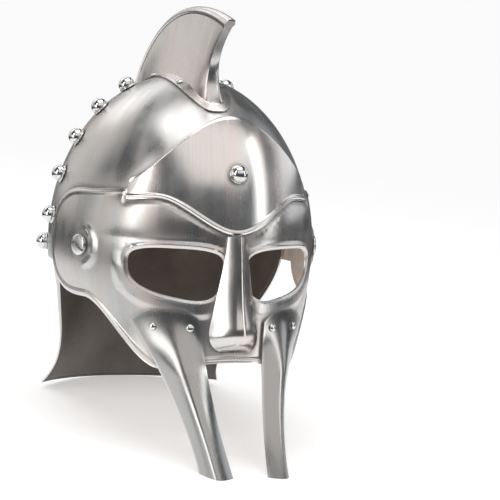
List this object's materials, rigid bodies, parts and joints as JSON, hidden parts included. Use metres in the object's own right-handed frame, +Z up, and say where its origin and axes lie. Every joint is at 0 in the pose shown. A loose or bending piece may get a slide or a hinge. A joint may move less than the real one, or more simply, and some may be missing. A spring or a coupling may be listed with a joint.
{
  "type": "gladiator helmet",
  "caption": "Steel gladiator helmet with a fin crest, raised brow, face guard, nasal, long cheek guards, flared neck guard and round studs.",
  "frame": {"origin": "on the surface that the helmet stands on, under the middle of its overall box", "axes": "+Z up, the face towards -Y, the wearer's left towards +X; the helmet stands tipped back about 7 degrees"},
  "size_m": [0.231, 0.3332, 0.3522],
  "materials": {
    "skull_steel": "buffed, with fine upright brushing",
    "neck_steel": "buffed outside, dull and dark inside",
    "face_steel": "buffed, with fine upright brushing",
    "brow_steel": "polished, with fine upright brushing",
    "nasal_steel": "polished, with fine upright brushing",
    "cheek_steel": "polished, brushed lengthwise",
    "crest_steel": "buffed, with fine upright brushing",
    "stud_steel": "bright turned and polished",
    "rivet_steel": "bright domed",
    "screw_steel": "bright, slotted"
  },
  "bodies": {
    "root": {"skull": "skull_steel", "neck_guard": "neck_steel", "face_guard": "face_steel", "brow_plate": "brow_steel", "nasal": "nasal_steel", "crest": "crest_steel", "cheek_guard_right": "cheek_steel", "cheek_guard_left": "cheek_steel", "crown_stud_right_1": "stud_steel", "crown_stud_right_2": "stud_steel", "crown_stud_right_3": "stud_steel", "crown_stud_right_4": "stud_steel", "crown_stud_right_5": "stud_steel", "crown_stud_left_1": "stud_steel", "crown_stud_left_2": "stud_steel", "crown_stud_left_3": "stud_steel", "crown_stud_left_4": "stud_steel", "crown_stud_left_5": "stud_steel", "seam_stud_1": "stud_steel", "seam_stud_2": "stud_steel", "seam_stud_3": "stud_steel", "seam_stud_4": "stud_steel", "seam_stud_5": "stud_steel", "seam_stud_6": "stud_steel", "seam_stud_7": "stud_steel", "brow_stud": "stud_steel", "crest_rivet_right_1": "rivet_steel", "crest_rivet_right_2": "rivet_steel", "crest_rivet_right_3": "rivet_steel", "cheek_rivet_right_1": "rivet_steel", "cheek_rivet_right_2": "rivet_steel", "ear_screw_right": "screw_steel", "crest_rivet_left_1": "rivet_steel", "crest_rivet_left_2": "rivet_steel", "crest_rivet_left_3": "rivet_steel", "cheek_rivet_left_1": "rivet_steel", "cheek_rivet_left_2": "rivet_steel", "ear_screw_left": "screw_steel"}
  },
  "joints": []
}
